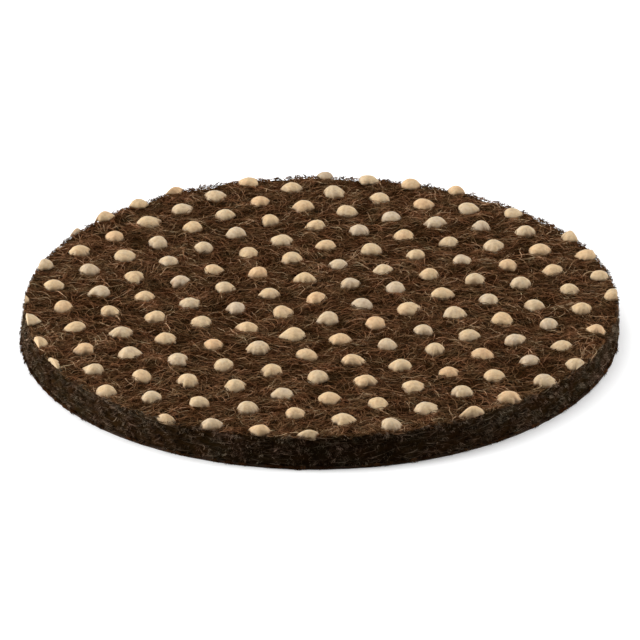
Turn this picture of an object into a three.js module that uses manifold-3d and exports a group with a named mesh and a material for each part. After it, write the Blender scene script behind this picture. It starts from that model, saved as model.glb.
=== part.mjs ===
// Round anti-slip furniture pad: a die-cut disc of needle felt with latex grip nubs on its upper face,
// and a pressure-sensitive adhesive with its release liner on the underside.
// Millimetres, +Z up. The origin is the middle of the liner's underside, and the nub side faces up.
import * as THREE from "three";
import { mergeVertices } from "three/addons/utils/BufferGeometryUtils.js";
import Module from "manifold-3d";

const wasm = await Module();
wasm.setup();

// The disc and its layers, from the top down
const PAD_DIAMETER = 60;
const FELT_THICKNESS = 3.1;
const ADHESIVE_THICKNESS = 0.12;
const LINER_THICKNESS = 0.08;
// The punch rolls the felt's upper edge over a little
const FELT_EDGE_ROUND = 0.25;

// One nub: a cap of latex on the felt, with a root that has soaked in and draws narrower as it goes down
const NUB_DIAMETER = 2.2;
const NUB_HEIGHT = 0.76;
const ROOT_DEPTH = 0.8;
const ROOT_DRAW_IN = 0.35;
// Room between a loose nub's root and the felt round it
const ROOT_CLEARANCE = 0.05;

// The nubs stand in a triangular pattern, printed on the sheet before the discs are punched from it
const NUB_PITCH = 4.77;
const NUB_ROW_ANGLE = THREE.MathUtils.degToRad(-15.7);
const MIDDLE_NUB = new THREE.Vector2(-0.3, 0.1);
// Latex that the punch cuts springs back behind the felt's edge, and a thinner slice than this is torn off
const CUT_SPRING_BACK = 0.05;
const THINNEST_SLICE = 0.25;
// Squared distance from the middle nub, in pitches: the nubs inside it are pieces of their own,
// and the ones further out are fused to the felt that carries them
const LOOSE_NUB_REACH = 13;

// How finely round things are divided
const RIM_SIDES = 72;
const EDGE_STEPS = 3;
const NUB_SIDES = 10;
const CAP_STEPS = 2;

const padRadius = PAD_DIAMETER / 2;
const nubRadius = NUB_DIAMETER / 2;
const adhesiveBottom = LINER_THICKNESS;
const feltBottom = adhesiveBottom + ADHESIVE_THICKNESS;
const feltTop = feltBottom + FELT_THICKNESS;

const felt = new THREE.MeshStandardMaterial({ color: 0x48311f, roughness: 1.0, metalness: 0 });
const latex = new THREE.MeshStandardMaterial({ color: 0xd6bb96, roughness: 0.75, metalness: 0 });
const adhesive = new THREE.MeshStandardMaterial({ color: 0xd8cfae, roughness: 0.35, metalness: 0 });
const linerPaper = new THREE.MeshStandardMaterial({ color: 0xf1efe8, roughness: 0.5, metalness: 0 });

// A profile of radius and height, turned round the Z axis
function turned(profile, sides) {
  return new THREE.LatheGeometry(profile, sides).rotateX(Math.PI / 2);
}

function solidOf(geometry) {
  const bare = new THREE.BufferGeometry();
  bare.setAttribute("position", geometry.getAttribute("position"));
  bare.setIndex(geometry.index);
  const merged = mergeVertices(bare);
  return new wasm.Manifold(
    new wasm.Mesh({
      numProp: 3,
      vertProperties: new Float32Array(merged.getAttribute("position").array),
      triVerts: new Uint32Array(merged.index.array),
    }),
  );
}

function geometryOf(solid) {
  const mesh = solid.getMesh();
  const geometry = new THREE.BufferGeometry();
  geometry.setAttribute("position", new THREE.BufferAttribute(mesh.vertProperties, 3));
  geometry.setIndex(new THREE.BufferAttribute(mesh.triVerts, 1));
  geometry.computeVertexNormals();
  return geometry;
}

function named(name, geometry, material, height) {
  const mesh = new THREE.Mesh(geometry, material);
  mesh.name = name;
  mesh.position.z = height;
  return mesh;
}

// A plain round layer with square edges, from height 0 up
function layer(radius, thickness) {
  const profile = [
    new THREE.Vector2(0, 0),
    new THREE.Vector2(radius, 0),
    new THREE.Vector2(radius, thickness),
    new THREE.Vector2(0, thickness),
  ];
  return turned(profile, RIM_SIDES);
}

// The felt blank: square below, its upper edge rolled over by the punch
function feltBlank() {
  const profile = [new THREE.Vector2(0, 0), new THREE.Vector2(padRadius, 0)];
  for (let step = 0; step <= EDGE_STEPS; step++) {
    const turn = (step / EDGE_STEPS) * (Math.PI / 2);
    profile.push(
      new THREE.Vector2(
        padRadius - FELT_EDGE_ROUND * (1 - Math.cos(turn)),
        FELT_THICKNESS - FELT_EDGE_ROUND * (1 - Math.sin(turn)),
      ),
    );
  }
  profile.push(new THREE.Vector2(0, FELT_THICKNESS));
  return turned(profile, RIM_SIDES);
}

// A nub, with height 0 at the felt's face: the root below it and a cap cut from a ball above it
function nubGeometry() {
  const ball = (nubRadius ** 2 + NUB_HEIGHT ** 2) / (2 * NUB_HEIGHT);
  const edgeAngle = Math.acos((ball - NUB_HEIGHT) / ball);
  const profile = [
    new THREE.Vector2(0, -ROOT_DEPTH),
    new THREE.Vector2(nubRadius - ROOT_DRAW_IN, -ROOT_DEPTH),
    new THREE.Vector2(nubRadius, 0),
  ];
  for (let step = CAP_STEPS - 1; step > 0; step--) {
    const angle = (edgeAngle * step) / CAP_STEPS;
    profile.push(
      new THREE.Vector2(ball * Math.sin(angle), NUB_HEIGHT - ball * (1 - Math.cos(angle))),
    );
  }
  profile.push(new THREE.Vector2(0, NUB_HEIGHT));
  return turned(profile, NUB_SIDES);
}

// What is cut from the felt for a loose nub's root: the root's outline with its clearance, open at the top
function pocketGeometry() {
  const mouth = nubRadius + ROOT_CLEARANCE;
  const profile = [
    new THREE.Vector2(0, -ROOT_DEPTH),
    new THREE.Vector2(mouth - ROOT_DRAW_IN, -ROOT_DEPTH),
    new THREE.Vector2(mouth, 0),
    new THREE.Vector2(mouth, NUB_HEIGHT),
    new THREE.Vector2(0, NUB_HEIGHT),
  ];
  return turned(profile, NUB_SIDES);
}

// Where the nubs stand on the disc, as pattern steps and places, row by row
function nubPlaces() {
  const alongRow = new THREE.Vector2(NUB_PITCH, 0).rotateAround(new THREE.Vector2(), NUB_ROW_ANGLE);
  const toNextRow = alongRow.clone().rotateAround(new THREE.Vector2(), Math.PI / 3);
  const furthest = padRadius + nubRadius - THINNEST_SLICE;
  const most = Math.ceil((2 * furthest) / NUB_PITCH);
  const places = [];
  for (let row = most; row >= -most; row--) {
    for (let step = -2 * most; step <= 2 * most; step++) {
      const at = MIDDLE_NUB.clone().addScaledVector(alongRow, step).addScaledVector(toNextRow, row);
      if (at.length() < furthest) {
        const reach = step * step + step * row + row * row;
        places.push({ at, loose: reach <= LOOSE_NUB_REACH });
      }
    }
  }
  return places;
}

const nubSolid = solidOf(nubGeometry());
const pocketSolid = solidOf(pocketGeometry());
const punch = solidOf(layer(padRadius - CUT_SPRING_BACK, FELT_THICKNESS + NUB_HEIGHT));

// The nub at a place, over the felt blank, with what the punch takes off at the rim gone
function nubOnFelt(at) {
  const placed = nubSolid.translate([at.x, at.y, FELT_THICKNESS]);
  const reachesRim = at.length() + nubRadius > padRadius - CUT_SPRING_BACK;
  return reachesRim ? placed.intersect(punch) : placed;
}

const places = nubPlaces();
const loosePlaces = places.filter((place) => place.loose);
const fusedPlaces = places.filter((place) => !place.loose);

// The felt: a pocket for each loose nub's root, and the outer nubs in one piece with it
let feltSolid = solidOf(feltBlank());
for (const { at } of loosePlaces) {
  feltSolid = feltSolid.subtract(pocketSolid.translate([at.x, at.y, FELT_THICKNESS]));
}
for (const { at } of fusedPlaces) {
  feltSolid = feltSolid.add(nubOnFelt(at));
}

const pad = new THREE.Group();
loosePlaces.forEach(({ at }, index) => {
  const ownShape = nubOnFelt(at).translate([-at.x, -at.y, -FELT_THICKNESS]);
  const name = "nub_" + String(index + 1).padStart(2, "0");
  const nub = named(name, geometryOf(ownShape), latex, feltTop);
  nub.position.x = at.x;
  nub.position.y = at.y;
  pad.add(nub);
});
pad.add(named("felt_disc", geometryOf(feltSolid), felt, feltBottom));
pad.add(named("adhesive_film", layer(padRadius, ADHESIVE_THICKNESS), adhesive, adhesiveBottom));
pad.add(named("release_liner", layer(padRadius, LINER_THICKNESS), linerPaper, 0));
console.log(loosePlaces.length + " loose nubs and " + fusedPlaces.length + " fused to the felt");

export default pad;
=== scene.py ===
# %% [markdown]
# # A round anti-slip furniture pad
# The real object is a disc punched from thick needle felt. Latex was printed on the felt in rows of
# drops before the punch came down, so the drops at the rim are cut through. The CAD model gives the
# sizes and the places of the pieces. This lesson gives them their looks: a tangle of real strands for
# the felt, nubs that each dried a little differently, and quiet finishes for the hidden underside.

# %% The frame
import math

import bmesh
import bpy
import numpy as np
from mathutils import Matrix, Vector, noise


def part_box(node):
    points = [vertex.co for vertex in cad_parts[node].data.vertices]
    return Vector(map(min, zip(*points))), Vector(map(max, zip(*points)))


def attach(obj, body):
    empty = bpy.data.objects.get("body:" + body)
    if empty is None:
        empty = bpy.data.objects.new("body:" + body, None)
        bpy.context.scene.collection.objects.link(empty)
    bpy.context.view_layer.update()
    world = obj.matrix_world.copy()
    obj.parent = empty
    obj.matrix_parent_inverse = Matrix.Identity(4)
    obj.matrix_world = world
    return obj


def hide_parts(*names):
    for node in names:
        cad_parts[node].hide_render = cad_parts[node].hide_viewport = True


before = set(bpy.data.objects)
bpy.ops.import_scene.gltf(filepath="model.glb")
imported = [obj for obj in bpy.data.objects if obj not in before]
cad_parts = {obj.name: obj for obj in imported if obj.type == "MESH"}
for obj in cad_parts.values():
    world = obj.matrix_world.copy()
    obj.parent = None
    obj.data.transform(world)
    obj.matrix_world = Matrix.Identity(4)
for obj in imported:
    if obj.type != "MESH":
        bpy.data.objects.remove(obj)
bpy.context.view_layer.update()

MM = 0.001
scene = bpy.context.scene
nub_names = sorted(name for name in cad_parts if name.startswith("nub_"))
nub_low, nub_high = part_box(nub_names[0])

PAD_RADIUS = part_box("felt_disc")[1].x
FELT_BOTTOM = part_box("adhesive_film")[1].z
NUB_HEIGHT = 0.76 * MM
NUB_RADIUS = (nub_high.y - nub_low.y) / 2
FELT_TOP = nub_high.z - NUB_HEIGHT
print("pad radius", PAD_RADIUS, "felt from", FELT_BOTTOM, "to", FELT_TOP, "nub radius", NUB_RADIUS)

# %% [markdown]
# ## The camera
# The photograph was taken from far away with a long lens, so the disc's ellipse is nearly the same at
# the front and at the back. The rows of nubs fix the view: their places on the disc are known, so the
# distance, the rise and the small roll of the camera follow from where the rows lie in the picture.

# %% Camera
CAMERA_DISTANCE = 496.8 * MM
CAMERA_RISE = math.radians(26.26)
CAMERA_ROLL = math.radians(-0.5)
CAMERA_ASIDE = 0.05 * MM
CAMERA_LIFT = 0.95 * MM
LENS = 278.2
SENSOR_WIDTH = 36
CLIP_START = 10 * MM
CLIP_END = 10


def make_camera():
    back = Vector((0, -math.cos(CAMERA_RISE), math.sin(CAMERA_RISE)))
    level = Vector((1, 0, 0))
    upright = back.cross(level)
    across = math.cos(CAMERA_ROLL) * level + math.sin(CAMERA_ROLL) * upright
    up = math.cos(CAMERA_ROLL) * upright - math.sin(CAMERA_ROLL) * level
    data = bpy.data.cameras.new("camera")
    data.lens = LENS
    data.sensor_width = SENSOR_WIDTH
    data.clip_start = CLIP_START
    data.clip_end = CLIP_END
    camera = bpy.data.objects.new("camera", data)
    camera.matrix_world = Matrix((across, up, back)).transposed().to_4x4()
    camera.location = back * CAMERA_DISTANCE + across * CAMERA_ASIDE + up * CAMERA_LIFT
    scene.collection.objects.link(camera)
    scene.camera = camera
    return camera


camera = make_camera()
print("camera at", tuple(round(c, 4) for c in camera.location))

# %% [markdown]
# ## The stage
# A soft box hangs above the pad and a little behind it, and one stands low at each side, so the tops of
# the nubs and the pad's flanks are lit while the front of the punched edge is nearly black. The floor is
# white to the eye, but sends little light back up on to the edge. The floor keeps the pad's shadow,
# because it stays an ordinary matt surface. Each box has a place, a width, a depth and a power in watts.

# %% Stage
FLOOR_SIZE = 6.0
WHITE = (1.0, 1.0, 1.0, 1)
FLOOR_BOUNCE = (0.24, 0.24, 0.24, 1)
WORLD_LIGHT = (0.225, 0.225, 0.225, 1)
SOFT_BOXES = {
    "box_above": (Vector((0, 0.16, 0.5)), 0.9, 0.45, 3.8),
    "box_left": (Vector((-0.5, -0.02, 0.1)), 0.28, 0.18, 4.5),
    "box_right": (Vector((0.5, -0.02, 0.1)), 0.28, 0.18, 2.05),
}


def seen_directly(tree):
    """One where the eye meets a surface, straight or by a mirror or glass, and nought for other light."""
    path = tree.nodes.new("ShaderNodeLightPath")
    total = path.outputs["Is Camera Ray"]
    for kind in ("Is Glossy Ray", "Is Transmission Ray"):
        add = tree.nodes.new("ShaderNodeMath")
        add.operation = "MAXIMUM"
        tree.links.new(total, add.inputs[0])
        tree.links.new(path.outputs[kind], add.inputs[1])
        total = add.outputs[0]
    return total


def seen_or_sent(tree, sent, seen):
    """A colour that differs between what the eye sees and what lights the object."""
    mix = tree.nodes.new("ShaderNodeMix")
    mix.data_type = "RGBA"
    colours = [socket for socket in mix.inputs if socket.type == "RGBA"]
    colours[0].default_value = sent
    colours[1].default_value = seen
    tree.links.new(seen_directly(tree), mix.inputs["Factor"])
    return next(socket for socket in mix.outputs if socket.type == "RGBA")


def make_floor():
    bm = bmesh.new()
    bmesh.ops.create_grid(bm, x_segments=1, y_segments=1, size=FLOOR_SIZE / 2)
    mesh = bpy.data.meshes.new("floor")
    bm.to_mesh(mesh)
    bm.free()
    floor = bpy.data.objects.new("floor", mesh)
    scene.collection.objects.link(floor)
    material = bpy.data.materials.new("white_floor")
    material.use_nodes = True
    tree = material.node_tree
    shader = tree.nodes["Principled BSDF"]
    shader.inputs["Roughness"].default_value = 1
    shader.inputs["Specular IOR Level"].default_value = 0
    tree.links.new(seen_or_sent(tree, FLOOR_BOUNCE, WHITE), shader.inputs["Base Color"])
    mesh.materials.append(material)


def make_light():
    world = bpy.data.worlds.new("studio")
    world.use_nodes = True
    tree = world.node_tree
    background = tree.nodes["Background"]
    tree.links.new(seen_or_sent(tree, WORLD_LIGHT, WHITE), background.inputs["Color"])
    scene.world = world
    for name, (place, width, depth, watts) in SOFT_BOXES.items():
        data = bpy.data.lights.new(name, "AREA")
        data.shape = "RECTANGLE"
        data.size = width
        data.size_y = depth
        data.energy = watts
        box = bpy.data.objects.new(name, data)
        box.location = place
        box.rotation_euler = (-place).to_track_quat("-Z", "Y").to_euler()
        scene.collection.objects.link(box)


make_floor()
make_light()
scene.view_settings.view_transform = "Standard"
print("lit by", *SOFT_BOXES)

# %% [markdown]
# ## The lie of the felt
# Needle felt isn't flat. Barbed needles have pulled strands down all over it, so its face is a field of
# low humps a few millimetres across. One function gives the height of that field at any place, and the
# felt's ground, its strands and the feet of the nubs all ask it, so they agree. Another gives the way
# that the strands run there, because felt is combed before it is needled and its locks swirl. Both are
# sums of sine waves, which are cheap and come out the same each time. The sheet has a slight bow and
# twist too, which the rows of nubs in the photograph follow. The punch leaned a little, so the cut edge
# slopes on the left and is upright on the right.

# %% Felt surface
PUNCH_LEAN = 0.2 * MM
TOP_RADIUS = PAD_RADIUS - PUNCH_LEAN
HUMP_SEED = 11
HUMP_WAVES = 16
HUMP_LENGTHS = (2.0 * MM, 9.0 * MM)
HUMP_HEIGHT = 0.028 * MM
LOCK_SEED = 12
LOCK_WAVES = 6
LOCK_LENGTHS = (9.0 * MM, 24.0 * MM)
LOCK_SWING = 0.3
FACE_SWELL = 0.04 * MM
FACE_TILT = -0.09 * MM
FACE_BOW = 0.13 * MM
FACE_TWIST = -0.36 * MM
EDGE_ROLL_WIDTH = 0.5 * MM
EDGE_ROLL_DROP = 0.05 * MM
EDGE_ROLL_MOST = 1.5


def waves(seed, count, lengths):
    """Directions, lengths and phases of waves that run every which way."""
    generator = np.random.default_rng(seed)
    turn = generator.uniform(0, 2 * math.pi, count)
    return turn, generator.uniform(*lengths, count), generator.uniform(0, 2 * math.pi, count)


def wave_sum(x, y, turn, length, phase):
    x, y = np.asarray(x, float)[..., None], np.asarray(y, float)[..., None]
    run = (x * np.cos(turn) + y * np.sin(turn)) / length
    return np.sin(2 * math.pi * run + phase).sum(-1)


humps = waves(HUMP_SEED, HUMP_WAVES, HUMP_LENGTHS)
locks = waves(LOCK_SEED, LOCK_WAVES, LOCK_LENGTHS)


def from_rim(x, y):
    """How far inside the upper edge of the cut a place lies."""
    return TOP_RADIUS - np.hypot(np.asarray(x, float) - PUNCH_LEAN, y)


def felt_warp(x, y):
    """The bow and the twist of the sheet, as a height above its mean face."""
    across, deep = np.asarray(x, float) / PAD_RADIUS, np.asarray(y, float) / PAD_RADIUS
    return FACE_SWELL + FACE_TILT * across + FACE_BOW * across**2 + FACE_TWIST * across * deep


def felt_face(x, y):
    """The height of the felt's upper face at a place, with its rim rolled over by the punch."""
    roll = EDGE_ROLL_DROP * np.clip(1 - from_rim(x, y) / EDGE_ROLL_WIDTH, 0, EDGE_ROLL_MOST) ** 2
    return FELT_TOP + felt_warp(x, y) + HUMP_HEIGHT * wave_sum(x, y, *humps) - roll


def felt_run(x, y):
    """The heading of the locks at a place."""
    return LOCK_SWING * wave_sum(x, y, *locks)


print("felt face at the middle", round(float(felt_face(0, 0)) / MM, 3), "mm")

# %% [markdown]
# ## The ground of the felt
# Under the strands that show lies a dense mat too fine to model strand by strand. It is a turned solid:
# a profile goes once round the axis, and its upper face then follows the humps, a little below the
# strands. The side is roughened, because the punch tears as much as it cuts.

# %% Felt ground
GROUND_SINK = 0.24 * MM
GROUND_INSET = 0.26 * MM
GROUND_RINGS = 60
GROUND_SIDES = 560
GROUND_WALL_STEPS = 10
WALL_ROUGHNESS = 0.12 * MM
WALL_GRAIN = 0.6 * MM
WELD = 0.001 * MM
NEAR = 0.01 * MM


def make_ground():
    bm = bmesh.new()
    rim = PAD_RADIUS - GROUND_INSET
    profile = [bm.verts.new((0, 0, FELT_TOP))]
    for ring in range(1, GROUND_RINGS + 1):
        profile.append(bm.verts.new((rim * ring / GROUND_RINGS, 0, FELT_TOP)))
    for step in range(1, GROUND_WALL_STEPS + 1):
        height = FELT_TOP + (FELT_BOTTOM - FELT_TOP) * step / GROUND_WALL_STEPS
        profile.append(bm.verts.new((rim, 0, height)))
    profile.append(bm.verts.new((0, 0, FELT_BOTTOM)))
    edges = [bm.edges.new(pair) for pair in zip(profile, profile[1:])]
    bmesh.ops.spin(
        bm, geom=profile + edges, axis=(0, 0, 1), cent=(0, 0, 0),
        angle=2 * math.pi, steps=GROUND_SIDES, use_merge=True,
    )
    bmesh.ops.remove_doubles(bm, verts=bm.verts, dist=WELD)
    bmesh.ops.recalc_face_normals(bm, faces=bm.faces)
    for vert in bm.verts:
        if vert.co.xy.length > rim - NEAR and vert.co.z > FELT_BOTTOM + NEAR:
            vert.co.xy *= 1 + noise.noise(vert.co / WALL_GRAIN) * WALL_ROUGHNESS / rim
    for face in bm.faces:
        face.smooth = True
    mesh = bpy.data.meshes.new("felt_ground")
    bm.to_mesh(mesh)
    bm.free()
    return mesh


def follow_felt(mesh):
    """Leans the turned solid with the punch, and lays its upper face under the humps."""
    place = np.empty(len(mesh.vertices) * 3)
    mesh.vertices.foreach_get("co", place)
    place = place.reshape(-1, 3)
    share = (place[:, 2] - FELT_BOTTOM) / (FELT_TOP - FELT_BOTTOM)
    place[:, :2] *= (1 - share * PUNCH_LEAN / PAD_RADIUS)[:, None]
    place[:, 0] += share * PUNCH_LEAN
    place[:, 2] += share * (felt_face(place[:, 0], place[:, 1]) - GROUND_SINK - FELT_TOP)
    mesh.vertices.foreach_set("co", place.ravel())


ground_mesh = make_ground()
follow_felt(ground_mesh)
print("felt ground", len(ground_mesh.polygons), "faces")

# %% [markdown]
# ## Strands
# A strand of felt is a thin crimped fibre. A curve with a small section swept along it makes the tube,
# thousands of them in one curve object, and the curve then becomes a mesh whose open ends are filled.
# Three sides are enough for something thinner than a hair. The mesh keeps the strands in order, so each
# can be given a tone for its dye, and a tile of its own on the map that a bake would use.

# %% Strands from paths
STRAND_SIDES = 3
STRAND_TAPER = 0.45
TAPER_POWER = 4
TILE_MARGIN = 0.05


def make_section():
    """The section that is swept along every strand: a tiny polygon of radius one."""
    curve = bpy.data.curves.new("strand_section", "CURVE")
    curve.dimensions = "2D"
    ring = curve.splines.new("POLY")
    ring.points.add(STRAND_SIDES - 1)
    for corner, point in enumerate(ring.points):
        turn = 2 * math.pi * corner / STRAND_SIDES
        point.co = (math.cos(turn), math.sin(turn), 0, 1)
    ring.use_cyclic_u = True
    return bpy.data.objects.new("strand_section", curve)


def swept(name, paths, thickness):
    """A mesh of one tube for each path, thinner towards its ends, with the ends closed."""
    section = make_section()
    curve = bpy.data.curves.new(name, "CURVE")
    curve.dimensions = "3D"
    curve.bevel_mode = "OBJECT"
    curve.bevel_object = section
    for path, thick in zip(paths, thickness):
        spline = curve.splines.new("POLY")
        spline.points.add(len(path) - 1)
        spline.points.foreach_set("co", np.column_stack([path, np.ones(len(path))]).ravel())
        along = np.linspace(-1, 1, len(path))
        spline.points.foreach_set("radius", thick / 2 * (1 - STRAND_TAPER * along**TAPER_POWER))
    holder = bpy.data.objects.new(name + "_curve", curve)
    scene.collection.objects.link(holder)
    graph = bpy.context.evaluated_depsgraph_get()
    mesh = bpy.data.meshes.new_from_object(holder.evaluated_get(graph), depsgraph=graph)
    bpy.data.objects.remove(holder)
    bpy.data.objects.remove(section)
    bm = bmesh.new()
    bm.from_mesh(mesh)
    open_edges = [edge for edge in bm.edges if edge.is_boundary]
    bmesh.ops.holes_fill(bm, edges=open_edges, sides=STRAND_SIDES)
    bmesh.ops.recalc_face_normals(bm, faces=bm.faces)
    for face in bm.faces:
        face.smooth = True
    bm.to_mesh(mesh)
    bm.free()
    mesh.name = name
    return mesh


def strands_mesh(name, paths, thickness, tones):
    """Swept strands that carry their tones, with a bake map of one square tile for each strand."""
    mesh = swept(name, paths, thickness)
    points = [len(path) * STRAND_SIDES for path in paths]
    number = np.repeat(np.arange(len(paths)), points)
    attribute = mesh.attributes.new("tone", "FLOAT", "POINT")
    attribute.data.foreach_set("value", np.asarray(tones, np.float32)[number])
    corner = np.empty(len(mesh.loops), np.int32)
    mesh.loops.foreach_get("vertex_index", corner)
    layer = mesh.uv_layers[0]
    layer.name = "OFBake"
    uv = np.empty(len(mesh.loops) * 2)
    layer.data.foreach_get("uv", uv)
    tile = number[corner]
    side = math.ceil(math.sqrt(len(paths)))
    uv = TILE_MARGIN + (1 - 2 * TILE_MARGIN) * uv.reshape(-1, 2)
    uv = (uv + np.stack([tile % side, tile // side], 1)) / side
    layer.data.foreach_set("uv", uv.ravel())
    print(name, len(paths), "strands,", len(mesh.polygons), "faces")
    return mesh


# %% [markdown]
# ## The face of the felt
# On the face, strands wander: their heading drifts as they go, and they rise and sink, so each shows for
# a few millimetres and dives again. Most follow the locks and the rest cross them. The first sets lie
# deep and get darker tones, a painted shade, and the later ones lie higher and get paler tones, a
# painted highlight. A strand that reaches the rim ends there, because the punch cut it, and the rim is
# a little paler all round where it was handled.

# %% Strands on the face
STRAND_POINTS = 9
STRAND_STEP = 0.36 * MM
STRAND_CRIMP = 0.2
STRAND_CRIMP_KEPT = 0.55
STRAND_WAVE = 0.055 * MM
STRAND_WAVE_KEPT = 0.6
STRAND_DIVE = 0.2 * MM
DIVE_POWER = 6
FEWEST_POINTS = 4
SOWN_AREA = 1.08
STRANDS_IN_LOCKS = 0.72
LOCK_SPREAD = 0.4
STRAND_THICKNESS = (0.04 * MM, 0.078 * MM)


def drift(generator, count, points, kick, kept):
    """Numbers that wander along each row: every step keeps a share of the last one and adds a kick."""
    kicks = generator.normal(0, kick, (count, points))
    rows = np.empty((count, points))
    rows[:, 0] = kicks[:, 0]
    for point in range(1, points):
        rows[:, point] = kept * rows[:, point - 1] + kicks[:, point]
    return rows


def face_paths(generator, count, low, high):
    """Paths of strands over the face, each at its own mean height between low and high."""
    radius = PAD_RADIUS * np.sqrt(generator.uniform(0, SOWN_AREA, count))
    angle = generator.uniform(0, 2 * math.pi, count)
    x, y = radius * np.cos(angle), radius * np.sin(angle)
    heading = felt_run(x, y) + generator.normal(0, LOCK_SPREAD, count)
    stray = generator.uniform(0, 1, count) > STRANDS_IN_LOCKS
    heading[stray] = generator.uniform(0, 2 * math.pi, stray.sum())
    turning = drift(generator, count, STRAND_POINTS, STRAND_CRIMP, STRAND_CRIMP_KEPT)
    heading = heading[:, None] + np.cumsum(turning, 1)
    x = x[:, None] + np.cumsum(np.cos(heading), 1) * STRAND_STEP
    y = y[:, None] + np.cumsum(np.sin(heading), 1) * STRAND_STEP
    dive = STRAND_DIVE * np.linspace(-1, 1, STRAND_POINTS) ** DIVE_POWER
    wave = drift(generator, count, STRAND_POINTS, STRAND_WAVE, STRAND_WAVE_KEPT)
    z = felt_face(x, y) + generator.uniform(low, high, (count, 1)) + wave - dive
    inside = from_rim(x, y) > 0
    paths = []
    for path, keep in zip(np.stack([x, y, z], -1), inside):
        cut = np.flatnonzero(~keep)
        if len(cut):
            path = path[: cut[0]] if keep[0] else path[cut[-1] + 1 :]
        if len(path) >= FEWEST_POINTS:
            paths.append(path)
    return paths


PALEST_DYED = 0.8
PALE_TONE = 0.85


def pick_tones(generator, count, mean, spread, pale=0.0):
    """Tones about a mean, with a small share of pale strands among them."""
    tones = np.clip(generator.normal(mean, spread, count), 0, PALEST_DYED)
    tones[generator.uniform(0, 1, count) < pale] = PALE_TONE
    return tones


# %% Layers of the face
# Each layer has its lowest and highest mean height, its mean tone and its share of pale strands.
# The mean tone is painted shade and light: darker for the deep layers, paler for the high ones.
FACE_SETS = {
    "felt_strands_a": (-0.20 * MM, -0.10 * MM, 0.20, 0.00),
    "felt_strands_b": (-0.17 * MM, -0.06 * MM, 0.26, 0.01),
    "felt_strands_c": (-0.14 * MM, -0.03 * MM, 0.33, 0.01),
    "felt_strands_d": (-0.11 * MM, 0.00 * MM, 0.41, 0.02),
    "felt_strands_e": (-0.08 * MM, 0.03 * MM, 0.47, 0.02),
    "felt_strands_f": (-0.06 * MM, 0.06 * MM, 0.51, 0.02),
}
STRANDS_IN_SET = 3900
FACE_SEED = 100
FACE_TONE_SPREAD = 0.18
RIM_SCUFF = 0.06
RIM_SCUFF_WIDTH = 2.2 * MM
strand_meshes = {}
for number, (name, (low, high, mean, pale)) in enumerate(FACE_SETS.items()):
    generator = np.random.default_rng(FACE_SEED + number)
    paths = face_paths(generator, STRANDS_IN_SET, low, high)
    thickness = generator.uniform(*STRAND_THICKNESS, len(paths))
    # The set's mean tone paints shade on deep strands and light on high ones; the spread about it is the
    # dye.
    tones = pick_tones(generator, len(paths), mean, FACE_TONE_SPREAD, pale)
    middles = np.array([path[len(path) // 2] for path in paths])
    tones += RIM_SCUFF * (from_rim(middles[:, 0], middles[:, 1]) < RIM_SCUFF_WIDTH)
    strand_meshes[name] = strands_mesh(name, paths, thickness, tones)

# %% [markdown]
# ## Where the nubs stand
# Latex was printed on the whole sheet in a triangular pattern, a little askew to the way the camera
# looks. The disc was punched from the sheet afterwards, so the pattern has no regard for the rim.

# %% Nub places
NUB_PITCH = 4.77 * MM
ROW_TURN = math.radians(-15.7)
MIDDLE_NUB = Vector((-0.3 * MM, 0.1 * MM))
THINNEST_SLICE = 0.25 * MM


def nub_places():
    """Every place of the printed pattern that the disc holds, row by row."""
    along = Vector((math.cos(ROW_TURN), math.sin(ROW_TURN))) * NUB_PITCH
    onward = Vector((math.cos(ROW_TURN + math.pi / 3), math.sin(ROW_TURN + math.pi / 3))) * NUB_PITCH
    most = math.ceil(2 * PAD_RADIUS / NUB_PITCH)
    furthest = PAD_RADIUS + NUB_RADIUS - THINNEST_SLICE
    steps = range(-2 * most, 2 * most + 1)
    found = [MIDDLE_NUB + step * along + row * onward for row in steps for step in steps]
    return [place for place in found if place.length < furthest]


def from_nub(x, y):
    """How far a place lies from the middle of the nearest nub."""
    gaps = [np.hypot(x - place.x, y - place.y) for place in places]
    return np.min(gaps, 0)


places = nub_places()
print(len(places), "nubs on the pad")

# %% [markdown]
# ## The punched edge
# The edge shows the felt in section: strands that ran along the edge lie bare for a stretch, and all the
# others end there in tufts, pulled together by the needles. Tufts at the upper rim stand out as fuzz, and
# at the bottom the punch has dragged a fringe of ends down over the thin edge of the adhesive.

# %% Places on the edge
TUFT = 6


def edge_point(angle, height, outward):
    """Places at an angle round the pad, at a height, outward from the punched edge."""
    share = np.clip((height - FELT_BOTTOM) / (FELT_TOP - FELT_BOTTOM), 0, 1)
    reach = PAD_RADIUS - PUNCH_LEAN * share + outward
    x, y = PUNCH_LEAN * share + reach * np.cos(angle), reach * np.sin(angle)
    return np.stack([x, y, height + share * felt_warp(x, y)], -1)


def in_tufts(generator, count, low, high, stray):
    """Numbers that strands of a tuft share, but for a little stray of each strand's own."""
    shared = np.repeat(generator.uniform(low, high, count // TUFT), TUFT)
    return (shared + generator.normal(0, stray, len(shared)))[:, None]


def round_pad(generator, count, gather):
    """Angles of tufts all round the pad, with the strands of a tuft gathered within a width."""
    return in_tufts(generator, count, 0, 2 * math.pi, gather / PAD_RADIUS)


# %% Strands along the edge
EDGE_RUN_POINTS = 6
EDGE_RUN_STEP = 0.36 * MM
EDGE_RUN_SLOPE = 0.13
EDGE_RUN_WAVER = 0.03 * MM
EDGE_RUN_KEPT = 0.6
EDGE_RUN_DEPTH = (-0.24 * MM, -0.06 * MM)
EDGE_RUN_DIVE = 0.2 * MM
EDGE_RUN_HIGHEST = FELT_TOP - 0.1 * MM
EDGE_RUN_BAND = (FELT_BOTTOM + 0.03 * MM, FELT_TOP - 0.12 * MM)


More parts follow.
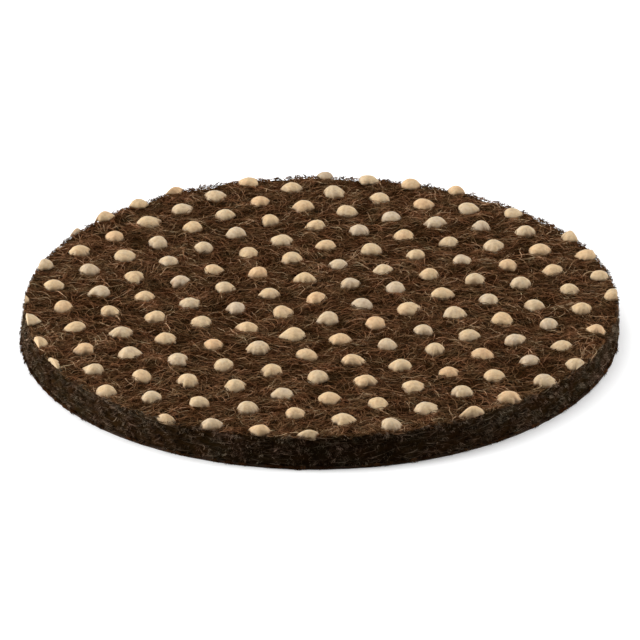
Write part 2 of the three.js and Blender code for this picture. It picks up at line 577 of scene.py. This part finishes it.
def edge_runs(generator, count):
    """Paths that run along the edge, wavering up and down and in and out."""
    start = generator.uniform(0, 2 * math.pi, (count, 1))
    way = generator.choice([-1, 1], (count, 1))
    slope = drift(generator, count, EDGE_RUN_POINTS, EDGE_RUN_SLOPE, EDGE_RUN_KEPT)
    angle = start + way * np.cumsum(np.cos(slope), 1) * EDGE_RUN_STEP / PAD_RADIUS
    height = generator.uniform(FELT_BOTTOM, EDGE_RUN_HIGHEST, (count, 1))
    height = height + np.cumsum(np.sin(slope), 1) * EDGE_RUN_STEP
    height = np.clip(height, *EDGE_RUN_BAND)
    along = np.linspace(-1, 1, EDGE_RUN_POINTS)
    outward = generator.uniform(*EDGE_RUN_DEPTH, (count, 1))
    outward = outward + drift(generator, count, EDGE_RUN_POINTS, EDGE_RUN_WAVER, EDGE_RUN_KEPT)
    outward = outward - EDGE_RUN_DIVE * along**TAPER_POWER
    return list(edge_point(angle, height, outward))


# %% Cut ends in the edge
# A range that a tuft draws from is its least, its most and the stray of each strand.
STUB_POINTS = 3
STUB_GATHER = 0.14 * MM
STUB_HEIGHT = (FELT_BOTTOM, FELT_TOP, 0.1 * MM)
STUB_LENGTH = (0.14 * MM, 0.46 * MM, 0.03 * MM)
STUB_ASIDE = (-0.5, 0.5, 0.3)
STUB_RISE = (-0.4, 0.3, 0.2)
STUB_LOWEST = FELT_BOTTOM + 0.02 * MM
STUB_ROOT = 0.38 * MM


def edge_stubs(generator, count):
    """Paths of cut ends that leave the edge in tufts, each tuft bent its own way."""
    angle = round_pad(generator, count, STUB_GATHER)
    height = in_tufts(generator, count, *STUB_HEIGHT)
    out = np.linspace(0, 1, STUB_POINTS)
    length = in_tufts(generator, count, *STUB_LENGTH)
    aside = in_tufts(generator, count, *STUB_ASIDE) * length * out
    rise = in_tufts(generator, count, *STUB_RISE) * length * out
    height = np.clip(height + rise, STUB_LOWEST, FELT_TOP)
    return list(edge_point(angle + aside / PAD_RADIUS, height, out * length - STUB_ROOT))


# %% Fuzz at the upper rim
FUZZ_POINTS = 5
FUZZ_GATHER = 0.07 * MM
FUZZ_LENGTH = (0.22 * MM, 0.5 * MM, 0.03 * MM)
FUZZ_START = (-0.8 * MM, -0.2 * MM, 0.05 * MM)
FUZZ_TILT = (0.0, 1.0, 0.2)
FUZZ_BEND = (-0.8, 0.8, 0.3)
FUZZ_ASIDE = (-0.8, 0.8, 0.25)
FUZZ_OUTWARD = 0.2
FUZZ_ROOT = 0.06 * MM


def rim_fuzz(generator, count):
    """Paths of loose ends that stand up and out in tufts along the upper rim."""
    angle = round_pad(generator, count, FUZZ_GATHER)
    out = np.linspace(0, 1, FUZZ_POINTS)
    length = in_tufts(generator, count, *FUZZ_LENGTH)
    start = in_tufts(generator, count, *FUZZ_START)
    tilt = in_tufts(generator, count, *FUZZ_TILT)
    bend = in_tufts(generator, count, *FUZZ_BEND)
    aside = in_tufts(generator, count, *FUZZ_ASIDE) * length * out + bend * length * out**2
    outward = start + FUZZ_OUTWARD * length * out
    height = FELT_TOP - FUZZ_ROOT + np.sin(tilt) * length * out
    paths = edge_point(angle + aside / PAD_RADIUS, height, outward)
    clear = from_nub(paths[:, :, 0], paths[:, :, 1]).min(1) > NUB_RADIUS
    return list(paths[clear])


# %% Fringe at the bottom
FRINGE_POINTS = 4
FRINGE_GATHER = 0.15 * MM
FRINGE_LENGTH = (0.2 * MM, 0.6 * MM, 0.08 * MM)
FRINGE_ASIDE = (-1.0, 1.0, 0.3)
FRINGE_FALL = (0.2, 0.9, 0.1)
FRINGE_START = FELT_BOTTOM + 0.15 * MM
FRINGE_SPREAD = (0.0, 1.0, 0.05)
FRINGE_REACH = 0.22 * MM
FRINGE_ROOT = 0.1 * MM
FRINGE_CLEAR = 0.05 * MM


def bottom_fringe(generator, count):
    """Paths of ends that hang in tufts over the edge of the adhesive under the felt, mostly short ones."""
    angle = round_pad(generator, count, FRINGE_GATHER)
    out = np.linspace(0, 1, FRINGE_POINTS)
    length = in_tufts(generator, count, *FRINGE_LENGTH)
    aside = in_tufts(generator, count, *FRINGE_ASIDE) * length * out
    fall = in_tufts(generator, count, *FRINGE_FALL) * length * out
    height = np.maximum(FRINGE_START - fall, FRINGE_CLEAR)
    reach = FRINGE_ROOT + FRINGE_REACH * in_tufts(generator, count, *FRINGE_SPREAD) ** 2
    outward = reach * np.sqrt(out) - FRINGE_ROOT
    beside_film = height < FELT_BOTTOM + FRINGE_CLEAR
    outward = np.where(beside_film, np.maximum(outward, FRINGE_CLEAR), outward)
    return list(edge_point(angle + aside / PAD_RADIUS, height, outward))


# %% Sets of the edge
# Each set has its paths, a count of strands, and the mean and spread of its tufts' tones.
EDGE_SETS = {
    "felt_edge_runs": (edge_runs, 1800, 0.24, 0.12),
    "felt_edge_stubs_a": (edge_stubs, 12000, 0.25, 0.14),
    "felt_edge_stubs_b": (edge_stubs, 12000, 0.42, 0.14),
    "felt_rim_fuzz": (rim_fuzz, 3600, 0.32, 0.14),
    "felt_bottom_fringe": (bottom_fringe, 2400, 0.16, 0.10),
}
EDGE_SEED = 300
for number, (name, (make_paths, count, mean, spread)) in enumerate(EDGE_SETS.items()):
    generator = np.random.default_rng(EDGE_SEED + number)
    paths = make_paths(generator, count)
    thickness = generator.uniform(*STRAND_THICKNESS, len(paths))
    tones = pick_tones(generator, len(paths) // TUFT + 1, mean, spread)
    tones = np.repeat(tones, TUFT)[: len(paths)]
    strand_meshes[name] = strands_mesh(name, paths, thickness, tones)

# %% [markdown]
# ## Nubs
# A drop of latex sits on the felt as a cap with a thin skirt and sinks a root into it. No two dried
# alike: outlines follow the strands beneath, some run out in a tail, peaks lean to one side and skins
# pucker. Each nub starts as a ball whose upper half becomes the cap and whose lower half becomes the
# root, and is then pulled about by a few numbers of its own. Nubs that the punch met are sliced off
# and closed again. It came down at the front first, and pushed the drops in whole there.

# %% Shape of a nub
NUB_AROUND = 36
NUB_RINGS = 14
NUB_SKIRT = 0.04 * MM
NUB_SINK = 0.10 * MM
NUB_ROOT = 0.35 * MM
NUB_BELL = 0.74
NUB_WIDTHS = (0.89, 1.03)
NUB_HEIGHTS = (0.78, 0.96)
NUB_LEAN = 0.09 * MM
NUB_ASIDE = 0.06 * MM
TINT_MEAN = 0.55
TINT_SPREAD = 0.3
TAIL_SHARE = 0.4
TAIL_LENGTHS = (0.15, 0.4)
TAIL_WIDTH = 0.35
RAGGED = (0.3, 2.2)
STREAK_OUTLINE = 0.025
STREAK_LEVEL = 0.11
LUMP_SIZE = 0.8 * MM
LUMP_HEIGHT = 0.05 * MM
PUCKER_SIZE = 0.3 * MM
PUCKER_HEIGHT = 0.035 * MM
LUMPS_AT_FOOT = 0.35
OUTLINE_WAVES = ((2, 0.05), (3, 0.045), (4, 0.03), (5, 0.03), (7, 0.025), (9, 0.025), (12, 0.025))


class NubShape:
    """The few numbers that make one nub unlike the others."""

    def __init__(self, generator):
        self.radius = NUB_RADIUS * generator.uniform(*NUB_WIDTHS) + NUB_SKIRT
        self.height = NUB_HEIGHT * generator.uniform(*NUB_HEIGHTS) + NUB_SINK
        self.lean = Vector(generator.normal(0, NUB_LEAN, 2))
        self.outline = [
            (count, generator.normal(0, size), generator.uniform(0, 2 * math.pi))
            for count, size in OUTLINE_WAVES
        ]
        self.ragged = generator.uniform(*RAGGED)
        self.tail = generator.uniform(*TAIL_LENGTHS) if generator.uniform() < TAIL_SHARE else 0
        self.tail_turn = generator.uniform(0, 2 * math.pi)
        self.seed = Vector(generator.uniform(-50, 50, 3))
        streaks = generator.normal(0, 1, NUB_AROUND)
        self.streaks = (streaks + np.roll(streaks, 1) + np.roll(streaks, -1)) / math.sqrt(3)
        self.tint = np.clip(generator.normal(TINT_MEAN, TINT_SPREAD), 0, 1)
        self.aside = Vector(generator.normal(0, NUB_ASIDE, 2))

    def streak(self, turn):
        """How far the felt's strands show up through the foot of the nub on one side of it."""
        return self.streaks[round(turn / (2 * math.pi) * NUB_AROUND) % NUB_AROUND]

    def point(self, turn, polar):
        """A point of the nub: polar is nought at the peak, one at the skirt and two at the root's end."""
        if polar <= 1:
            out, level = polar, (1 - polar**2) ** NUB_BELL
        else:
            out, level = math.cos((polar - 1) * math.pi / 2), 0
        edge = min(1, polar) ** 2
        ripples = (size * math.sin(count * turn + phase) for count, size, phase in self.outline)
        outline = 1 + edge * sum(ripples)
        away = math.atan2(math.sin(turn - self.tail_turn), math.cos(turn - self.tail_turn))
        outline += self.tail * edge**2 * math.exp(-((away / TAIL_WIDTH) ** 2))
        outline += self.ragged * STREAK_OUTLINE * edge**2 * self.streak(turn)
        reach = self.radius * out * outline
        point = Vector((reach * math.cos(turn), reach * math.sin(turn), self.height * level))
        point.xy += self.lean * level
        lump = noise.noise(point / LUMP_SIZE + self.seed) * LUMP_HEIGHT
        lump += noise.noise(point / PUCKER_SIZE - self.seed) * PUCKER_HEIGHT
        lump *= LUMPS_AT_FOOT + (1 - LUMPS_AT_FOOT) * level
        point.z += lump - NUB_ROOT * max(0, polar - 1)
        return point, level + self.ragged * STREAK_LEVEL * self.streak(turn)


# %% Nubs at the rim
SPRING_BACK = 0.04 * MM
CUT_SQUEEZE = 0.45 * MM
CUT_BEYOND = 0.6 * MM
CUT_TILT = math.radians(20)
PUSHED_IN = 0.8


def slice_off(bm, point, away):
    """Takes off what lies beyond a plane and closes the cut."""
    cut = bmesh.ops.bisect_plane(
        bm, geom=[*bm.verts, *bm.edges, *bm.faces], plane_co=point, plane_no=away, clear_outer=True,
    )
    rim = [item for item in cut["geom_cut"] if isinstance(item, bmesh.types.BMEdge)]
    if rim:
        bmesh.ops.edgeloop_fill(bm, edges=rim)
    return {vert for edge in rim for vert in edge.verts}


def push_in(bm, centre, outward, limit):
    """Squeezes a nub narrower until it lies inside the punch."""
    reach = [(vert.co - centre).dot(outward) for vert in bm.verts]
    near, far = min(reach), max(reach)
    if far > limit:
        share = (limit - near) / (far - near)
        for vert, at in zip(bm.verts, reach):
            vert.co += outward * (share - 1) * (at - near)


def cut_at_rim(bm, place, foot, level_layer):
    """Slices off what lies beyond the punch, baring clean latex, and the root below the felt's face."""
    centre = Vector((PUNCH_LEAN, 0, 0))
    outward = (Vector((place.x, place.y, 0)) - centre).normalized()
    upright = Vector((0, 0, 1))
    front = (1 - outward.y) / 2
    limit = TOP_RADIUS - SPRING_BACK
    if front > PUSHED_IN:
        push_in(bm, centre, outward, limit)
        return
    punch = centre + outward * (limit + CUT_BEYOND * front**2) + upright * (foot + NUB_SINK)
    tilt = CUT_TILT * front
    for vert in slice_off(bm, punch, outward * math.cos(tilt) + upright * math.sin(tilt)):
        vert[level_layer] = 1
    slice_off(bm, upright * (foot + NUB_SINK), -upright)
    for vert in bm.verts:
        past = (vert.co - centre).dot(outward) - limit + CUT_SQUEEZE
        if past > 0:
            vert.co += outward * (CUT_SQUEEZE * (1 - math.exp(-past / CUT_SQUEEZE)) - past)


# %% All the nubs
NUB_SEED = 7
CUT_WITHIN = 2 * NUB_RADIUS
SIDES_OF_CUT = 5


def make_nub(place, generator):
    """One nub as a small mesh in its place, with its tint and its height above the felt on its vertices."""
    shape = NubShape(generator)
    bm = bmesh.new()
    tint_layer = bm.verts.layers.float.new("tint")
    level_layer = bm.verts.layers.float.new("level")
    bmesh.ops.create_uvsphere(bm, u_segments=NUB_AROUND, v_segments=NUB_RINGS, radius=1)
    foot = float(felt_face(place.x, place.y)) - NUB_SINK
    for vert in bm.verts:
        turn = math.atan2(vert.co.y, vert.co.x)
        polar = math.acos(max(-1, min(1, vert.co.z))) / (math.pi / 2)
        point, level = shape.point(turn, polar)
        vert.co = point + Vector((place.x + shape.aside.x, place.y + shape.aside.y, foot))
        vert[tint_layer] = shape.tint
        vert[level_layer] = level
    if from_rim(place.x, place.y) < CUT_WITHIN:
        cut_at_rim(bm, place, foot, level_layer)
    for face in bm.faces:
        face.smooth = len(face.verts) < SIDES_OF_CUT
    mesh = bpy.data.meshes.new("nub")
    bm.to_mesh(mesh)
    bm.free()
    return mesh


def make_nubs():
    generator = np.random.default_rng(NUB_SEED)
    bm = bmesh.new()
    for place in places:
        nub = make_nub(place, generator)
        bm.from_mesh(nub)
        bpy.data.meshes.remove(nub)
    mesh = bpy.data.meshes.new("grip_nubs")
    bm.to_mesh(mesh)
    bm.free()
    print("nubs,", len(mesh.polygons), "faces")
    return mesh


nub_mesh = make_nubs()

# %% [markdown]
# ## Strands over the feet of the nubs
# The latex ran in among the strands, so at the foot of each nub a few strands lie across its thin edge.
# They follow the regular cap, which is close enough to the real one near its foot.

# %% Strands at the nubs
FOOT_STRANDS = 10
FOOT_POINTS = 9
FOOT_STEP = 0.3 * MM
FOOT_FROM_RIM = 1.5 * NUB_RADIUS
FOOT_OFF = (0.92, 1.18)
FOOT_SKEW = 0.35
FOOT_BEND_MEAN = 0.1
FOOT_BEND_SPREAD = 0.2
FOOT_BARE = 0.05 * MM
FOOT_NEAREST = 0.8
FOOT_THICKNESS = (0.035 * MM, 0.06 * MM)
FOOT_TONE = 0.33
FOOT_TONE_SPREAD = 0.14
FOOT_SEED = 51


def foot_paths(generator):
    """Short paths that pass each nub near its edge, climbing over the latex where they cross it."""
    uncut = [place for place in places if from_rim(place.x, place.y) > FOOT_FROM_RIM]
    centres = np.repeat([[place.x, place.y] for place in uncut], FOOT_STRANDS, 0)
    count = len(centres)
    side = generator.uniform(0, 2 * math.pi, (count, 1))
    off = generator.uniform(*FOOT_OFF, (count, 1)) * NUB_RADIUS
    start = generator.normal(0, 1, (count, 1)) - FOOT_POINTS / 2
    along = (np.arange(FOOT_POINTS) + start) * FOOT_STEP
    skew = side + math.pi / 2 + generator.normal(0, FOOT_SKEW, (count, 1))
    bend = generator.normal(FOOT_BEND_MEAN, FOOT_BEND_SPREAD, (count, 1)) * along**2 / NUB_RADIUS
    x = centres[:, :1] + off * np.cos(side) + along * np.cos(skew) + bend * np.cos(side)
    y = centres[:, 1:] + off * np.sin(side) + along * np.sin(skew) + bend * np.sin(side)
    out = np.hypot(x - centres[:, :1], y - centres[:, 1:]) / (NUB_RADIUS + NUB_SKIRT)
    cap = (NUB_HEIGHT + NUB_SINK) * np.clip(1 - out**2, 0, 1) ** NUB_BELL - NUB_SINK
    bare = generator.uniform(-FOOT_BARE, FOOT_BARE, (count, 1))
    dive = STRAND_DIVE * np.linspace(-1, 1, FOOT_POINTS) ** DIVE_POWER
    z = felt_face(x, y) + np.maximum(cap, bare) - dive
    beside = (out.min(1) > FOOT_NEAREST) & (from_rim(x, y).min(1) > 0)
    return list(np.stack([x, y, z], -1)[beside])


generator = np.random.default_rng(FOOT_SEED)
paths = foot_paths(generator)
thickness = generator.uniform(*FOOT_THICKNESS, len(paths))
tones = pick_tones(generator, len(paths), FOOT_TONE, FOOT_TONE_SPREAD)
strand_meshes["felt_strands_feet"] = strands_mesh("felt_strands_feet", paths, thickness, tones)

# %% [markdown]
# ## Felt finish
# The felt is spun from mixed waste fibre: near-black, umber, russet, an olive grey and a few pale tan
# strands. A strand's tone picks its dye from a ramp, and slow patches of noise pull whole clumps towards
# red or towards olive. The dye is weaker inside a strand, so the strands in the cut edge are greyer than
# the ones on the face, at the rim and in the fringe. The ground reads the same group with the darkest
# tone, which is painted shade for the mat that lies deep among the strands.

# %% Node helpers
def add_noise(tree, scale, detail, vector, roughness=0.5):
    node = tree.nodes.new("ShaderNodeTexNoise")
    node.inputs["Scale"].default_value = scale
    node.inputs["Detail"].default_value = detail
    node.inputs["Roughness"].default_value = roughness
    tree.links.new(vector, node.inputs["Vector"])
    return node.outputs["Fac"]


def add_math(tree, operation, *values):
    node = tree.nodes.new("ShaderNodeMath")
    node.operation = operation
    for socket, value in zip(node.inputs, values):
        if isinstance(value, (int, float)):
            socket.default_value = value
        else:
            tree.links.new(value, socket)
    return node.outputs[0]


def add_mix(tree, factor, first, second, blend="MIX"):
    node = tree.nodes.new("ShaderNodeMix")
    node.data_type = "RGBA"
    node.blend_type = blend
    sockets = [node.inputs["Factor"]] + [socket for socket in node.inputs if socket.type == "RGBA"]
    for socket, value in zip(sockets, (factor, first, second)):
        if isinstance(value, (int, float, tuple)):
            socket.default_value = value
        else:
            tree.links.new(value, socket)
    return next(socket for socket in node.outputs if socket.type == "RGBA")


def add_ramp(tree, factor, stops):
    node = tree.nodes.new("ShaderNodeValToRGB")
    ramp = node.color_ramp
    while len(ramp.elements) < len(stops):
        ramp.elements.new(0.5)
    for element, (position, colour) in zip(ramp.elements, stops):
        element.position = position
        element.color = (*colour, 1)
    tree.links.new(factor, node.inputs["Fac"])
    return node.outputs["Color"]


def add_attribute(tree, name):
    node = tree.nodes.new("ShaderNodeAttribute")
    node.attribute_name = name
    return node.outputs["Fac"]


def add_bump(tree, height, strength, distance):
    node = tree.nodes.new("ShaderNodeBump")
    node.inputs["Strength"].default_value = strength
    node.inputs["Distance"].default_value = distance
    tree.links.new(height, node.inputs["Height"])
    return node.outputs["Normal"]


def new_material(name):
    material = bpy.data.materials.new(name)
    material.use_nodes = True
    tree = material.node_tree
    place = tree.nodes.new("ShaderNodeTexCoord").outputs["Object"]
    return material, tree, tree.nodes["Principled BSDF"], place


# %% Felt finish
FELT_DYES = (
    (0.00, (0.026, 0.0095, 0.0022)),
    (0.25, (0.057, 0.027, 0.0120)),
    (0.50, (0.134, 0.069, 0.036)),
    (0.70, (0.225, 0.121, 0.068)),
    (0.85, (0.325, 0.217, 0.145)),
    (1.00, (0.533, 0.387, 0.253)),
)
CUT_DYES = (
    (0.00, (0.020, 0.0105, 0.0040)),
    (0.25, (0.058, 0.037, 0.0240)),
    (0.50, (0.160, 0.118, 0.091)),
    (0.70, (0.290, 0.224, 0.182)),
    (0.85, (0.400, 0.307, 0.233)),
    (1.00, (0.560, 0.453, 0.360)),
)
RUSSET_CAST = (1.02, 0.86, 0.74, 1)
OLIVE_CAST = (0.86, 0.92, 0.80, 1)
CLUMP_SCALE = 620
SHADE_SCALE = 420
STRAND_SCALE = 2300
ALONG_SHARE = 0.7
SHADE_SHARE = 0.5
MIDDLE_SHIFT = 0.6
CLUMP_CONTRAST = 3.0
CLUMP_SHIFT = -1.0
FELT_ROUGHNESS = 0.9
FELT_RELIEF = 0.4
FELT_RELIEF_DEPTH = 0.05 * MM


def make_felt_group():
    """Felt colour from a tone: dyes, clumps of russet and olive, and slow changes along each strand."""
    group = bpy.data.node_groups.new("felt_colour", "ShaderNodeTree")
    group.interface.new_socket("Tone", in_out="INPUT", socket_type="NodeSocketFloat")
    group.interface.new_socket("Cut", in_out="INPUT", socket_type="NodeSocketFloat")
    group.interface.new_socket("Color", in_out="OUTPUT", socket_type="NodeSocketColor")
    group.interface.new_socket("Height", in_out="OUTPUT", socket_type="NodeSocketFloat")
    inward = group.nodes.new("NodeGroupInput")
    outward = group.nodes.new("NodeGroupOutput")
    place = group.nodes.new("ShaderNodeTexCoord").outputs["Object"]
    along = add_noise(group, STRAND_SCALE, 2, place)
    tone = add_math(group, "MULTIPLY_ADD", along, ALONG_SHARE, inward.outputs["Tone"])
    shade = add_noise(group, SHADE_SCALE, 1, place)
    tone = add_math(group, "MULTIPLY_ADD", shade, SHADE_SHARE, tone)
    tone = add_math(group, "SUBTRACT", tone, MIDDLE_SHIFT)
    dye = add_mix(
        group, inward.outputs["Cut"], add_ramp(group, tone, FELT_DYES), add_ramp(group, tone, CUT_DYES),
    )
    clumps = add_noise(group, CLUMP_SCALE, 2, place)
    spread = add_math(group, "MULTIPLY_ADD", clumps, CLUMP_CONTRAST, CLUMP_SHIFT)
    spread.node.use_clamp = True
    cast = add_mix(group, spread, OLIVE_CAST, RUSSET_CAST)
    group.links.new(add_mix(group, 1.0, dye, cast, "MULTIPLY"), outward.inputs["Color"])
    group.links.new(along, outward.inputs["Height"])
    return group


felt_group = make_felt_group()


def felt_material(name, cut, tone=None):
    """Felt whose tone is each strand's own, or one tone all over for the ground."""
    material, tree, shader, _ = new_material(name)
    colour = tree.nodes.new("ShaderNodeGroup")
    colour.node_tree = felt_group
    colour.inputs["Cut"].default_value = cut
    if tone is None:
        tree.links.new(add_attribute(tree, "tone"), colour.inputs["Tone"])
    else:
        colour.inputs["Tone"].default_value = tone
    tree.links.new(colour.outputs["Color"], shader.inputs["Base Color"])
    shader.inputs["Roughness"].default_value = FELT_ROUGHNESS
    shader.inputs["Specular IOR Level"].default_value = 0
    normal = add_bump(tree, colour.outputs["Height"], FELT_RELIEF, FELT_RELIEF_DEPTH)
    tree.links.new(normal, shader.inputs["Normal"])
    return material


strand_felt = felt_material("felt_strand", cut=0)
cut_felt = felt_material("felt_cut", cut=1)
# The ground's tone of nought, the darkest dye, is painted shade deep among the strands.
shaded_ground_felt = felt_material("felt_ground", cut=1, tone=0.0)
print("felt finishes", strand_felt.name, cut_felt.name, shaded_ground_felt.name)

# %% [markdown]
# ## Latex finish
# Unfilled latex dries to a cream that varies from drop to drop between a grey cream, a yellow one and a
# peach. Thin latex at the foot of a nub lets the brown felt through, and the same brown climbs well up
# the sides as painted shade, so the lower part of each nub is darker. The skin is satin, with a faint
# pucker, and lets a little light in.

# %% Latex finish
LATEX_TINTS = (
    (0.00, (0.420, 0.327, 0.227)),
    (0.30, (0.454, 0.343, 0.213)),
    (0.60, (0.475, 0.341, 0.194)),
    (0.85, (0.491, 0.335, 0.187)),
    (1.00, (0.486, 0.318, 0.174)),
)
# Brown of the felt under thin latex, and painted shade on the lower part of each nub.
LATEX_FOOT_AND_SHADE = (0.17, 0.105, 0.055, 1)
LATEX_MOTTLE = (0.80, 0.77, 0.72, 1)
THIN_LATEX_AND_SHADE = ((0.20, (1, 1, 1)), (0.50, (0.4, 0.4, 0.4)), (0.95, (0, 0, 0)))
BLOTCH_SCALE = 900
BLOTCH_SHARE = 0.9
MOTTLE_SCALE = 3400
MOTTLE_CONTRAST = 4.0
MOTTLE_SHIFT = -1.7
RAGGED_SCALE = 2600
RAGGED_SHARE = 0.5
PUCKER_SCALE = 4200
PUCKER_RELIEF = 0.8
PUCKER_DEPTH = 0.06 * MM


def make_latex():
    material, tree, shader, place = new_material("nub_latex")
    blotch = add_noise(tree, BLOTCH_SCALE, 2, place)
    tint = add_math(tree, "MULTIPLY_ADD", blotch, BLOTCH_SHARE, add_attribute(tree, "tint"))
    cream = add_ramp(tree, add_math(tree, "SUBTRACT", tint, BLOTCH_SHARE / 2), LATEX_TINTS)
    mottle = add_noise(tree, MOTTLE_SCALE, 3, place)
    mottle = add_math(tree, "MULTIPLY_ADD", mottle, MOTTLE_CONTRAST, MOTTLE_SHIFT)
    mottle.node.use_clamp = True
    mottled = add_mix(tree, 1.0, cream, LATEX_MOTTLE, "MULTIPLY")
    cream = add_mix(tree, mottle, cream, mottled)
    ragged = add_noise(tree, RAGGED_SCALE, 2, place)
    level = add_math(tree, "MULTIPLY_ADD", ragged, RAGGED_SHARE, add_attribute(tree, "level"))
    # Brown mixes in by height: thin latex low down, and painted shade further up the sides.
    foot = add_ramp(tree, level, THIN_LATEX_AND_SHADE)
    tree.links.new(add_mix(tree, foot, cream, LATEX_FOOT_AND_SHADE), shader.inputs["Base Color"])
    shader.inputs["Roughness"].default_value = 0.6
    shader.inputs["Specular IOR Level"].default_value = 0.2
    shader.inputs["Subsurface Weight"].default_value = 0.2
    shader.inputs["Subsurface Radius"].default_value = (1.0, 0.6, 0.35)
    shader.inputs["Subsurface Scale"].default_value = 0.4 * MM
    pucker = add_noise(tree, PUCKER_SCALE, 3, place)
    tree.links.new(add_bump(tree, pucker, PUCKER_RELIEF, PUCKER_DEPTH), shader.inputs["Normal"])
    return material


latex = make_latex()
print("latex finish", latex.name)

# %% [markdown]
# ## Underside finishes
# The adhesive is a thin clear film with a yellow cast and a sheen. The liner is siliconed paper: smooth,
# with the cloudy look that paper has against the light and a few fibres in it. Felt dust and painted shade
# darken the cut edge of both, as dark as the shaded strands of the felt's edge above it. On the tacky
# film the dark band reaches in further, with a ragged border. They are flat discs, so the CAD pieces
# stay and only their finish is made here.

# %% Underside finishes
# Felt dust with painted shade: the edge is made as dark as the self-shaded strands of the felt's edge.
EDGE_DUST_AND_SHADE = (0.024, 0.012, 0.005, 1)
FILM_DUST_AND_SHADE = 0.5 * MM
LINER_DUST_AND_SHADE = 0.05 * MM
GRAIN_FINER = 9
GRAIN_ROUGHNESS = 0.2
GRAIN_DEPTH = 0.02 * MM
CLOUD_EDGES = (0.3, 0.7)


def underside_material(name, low, high, scale, roughness, relief, dust_and_shade_width):
    """A cloudy finish between two colours, with fine grain, and a band of felt dust and painted shade round
    the edge of the disc.
    """
    material, tree, shader, place = new_material(name)
    cloud = add_noise(tree, scale, 4, place, 0.6)
    grain = add_noise(tree, scale * GRAIN_FINER, 2, place)
    colour = add_ramp(tree, cloud, tuple(zip(CLOUD_EDGES, (low, high))))
    flat = tree.nodes.new("ShaderNodeVectorMath")
    flat.operation = "MULTIPLY"
    flat.inputs[1].default_value = (1, 1, 0)
    tree.links.new(place, flat.inputs[0])
    reach = tree.nodes.new("ShaderNodeVectorMath")
    reach.operation = "LENGTH"
    tree.links.new(flat.outputs["Vector"], reach.inputs[0])
    ragged = add_math(tree, "MULTIPLY_ADD", grain, dust_and_shade_width, reach.outputs["Value"])
    # The dark band round the edge is felt dust and painted shade, with a ragged inner border.
    dust_and_shade = add_math(tree, "GREATER_THAN", ragged, PAD_RADIUS - dust_and_shade_width / 2)
    tree.links.new(add_mix(tree, dust_and_shade, colour, EDGE_DUST_AND_SHADE), shader.inputs["Base Color"])
    rough = add_math(tree, "MULTIPLY_ADD", grain, GRAIN_ROUGHNESS, roughness - GRAIN_ROUGHNESS / 2)
    tree.links.new(add_math(tree, "MAXIMUM", rough, dust_and_shade), shader.inputs["Roughness"])
    shader.inputs["Specular IOR Level"].default_value = 0.2
    tree.links.new(add_bump(tree, grain, relief, GRAIN_DEPTH), shader.inputs["Normal"])
    return material


def refinish(node, material):
    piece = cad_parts[node]
    piece.data.materials.clear()
    piece.data.materials.append(material)
    print(node, "finished with", material.name)


film_finish = underside_material(
    "acrylic_adhesive", low=(0.60, 0.52, 0.34), high=(0.72, 0.65, 0.47),
    scale=260, roughness=0.35, relief=0.3, dust_and_shade_width=FILM_DUST_AND_SHADE,
)
refinish("adhesive_film", film_finish)
liner_finish = underside_material(
    "siliconed_paper", low=(0.78, 0.76, 0.70), high=(0.88, 0.87, 0.83),
    scale=180, roughness=0.48, relief=0.2, dust_and_shade_width=LINER_DUST_AND_SHADE,
)
refinish("release_liner", liner_finish)

# %% [markdown]
# ## Putting it together
# Every piece rides on the pad, which lifts off its liner. The ground stands for the CAD felt, and the
# modelled nubs stand for the CAD nubs.

# %% Pieces
def add_piece(name, mesh, material):
    piece = bpy.data.objects.new(name, mesh)
    scene.collection.objects.link(piece)
    mesh.materials.clear()
    mesh.materials.append(material)
    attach(piece, "pad")
    return piece


ground = add_piece("felt_ground", ground_mesh, shaded_ground_felt)
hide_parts("felt_disc")
for name, mesh in strand_meshes.items():
    in_edge = name.startswith("felt_edge")
    add_piece(name, mesh, cut_felt if in_edge else strand_felt)
nubs = add_piece("grip_nubs", nub_mesh, latex)
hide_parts(*nub_names)
